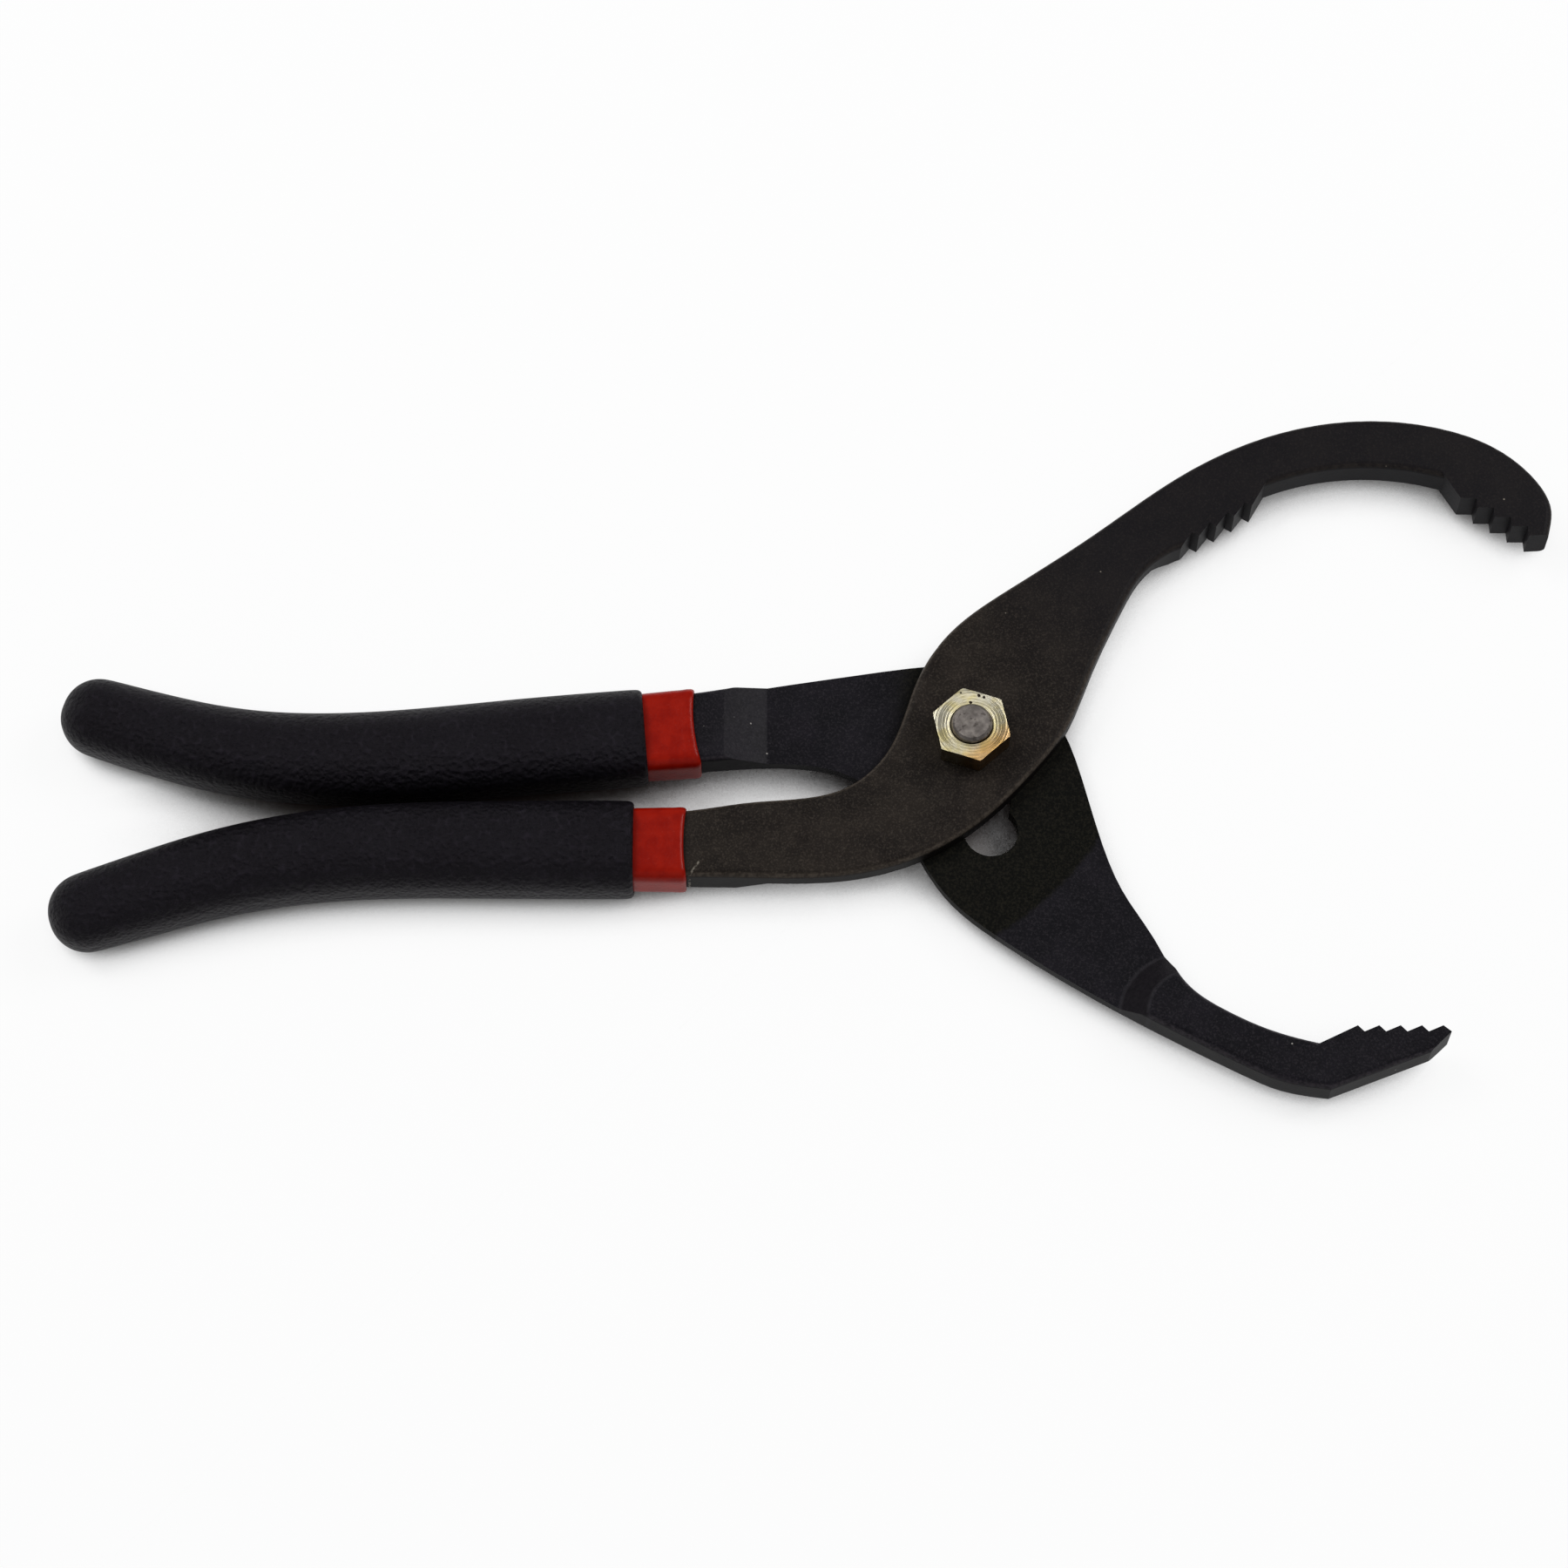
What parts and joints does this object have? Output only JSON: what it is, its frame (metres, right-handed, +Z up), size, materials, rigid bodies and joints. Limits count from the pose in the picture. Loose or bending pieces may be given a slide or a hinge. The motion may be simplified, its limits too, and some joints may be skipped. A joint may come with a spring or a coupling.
{
  "type": "slip-joint filter pliers",
  "caption": "Slip-joint pliers with wide curved toothed jaws for round canisters, a lobed slot and sliding bolt, and covered handles.",
  "frame": {"origin": "on the pivot's axis, on the plane that the bolt head and the grips rest on", "axes": "+Z up along the bolt towards the nut, +X towards the jaws, +Y towards the jaw of the front lever"},
  "size_m": [0.3083, 0.1485, 0.0189],
  "materials": {
    "front_steel": "satin",
    "rear_steel": "satin",
    "bolt_steel": "satin",
    "nut_zinc": "satin",
    "red_dip": "gloss",
    "black_grip": "matte"
  },
  "bodies": {
    "rear_side": {"rear_lever": "rear_steel", "rear_inner_sleeve": "red_dip", "rear_grip": "black_grip"},
    "pivot": {"pivot_bolt": "bolt_steel", "pivot_nut": "nut_zinc"},
    "front_side": {"front_lever": "front_steel", "front_inner_sleeve": "red_dip", "front_grip": "black_grip"}
  },
  "joints": [
    {"name": "slot_slide", "type": "slide", "parent": "rear_side", "child": "pivot", "axis": [0.2028, -0.9792, 0], "range_m": [0, 0.0198]},
    {"name": "lever_hinge", "type": "hinge", "parent": "pivot", "child": "front_side", "pos_m": [0, 0, 0.00785], "axis": [0, 0, 1], "range_deg": [0, 60]}
  ]
}
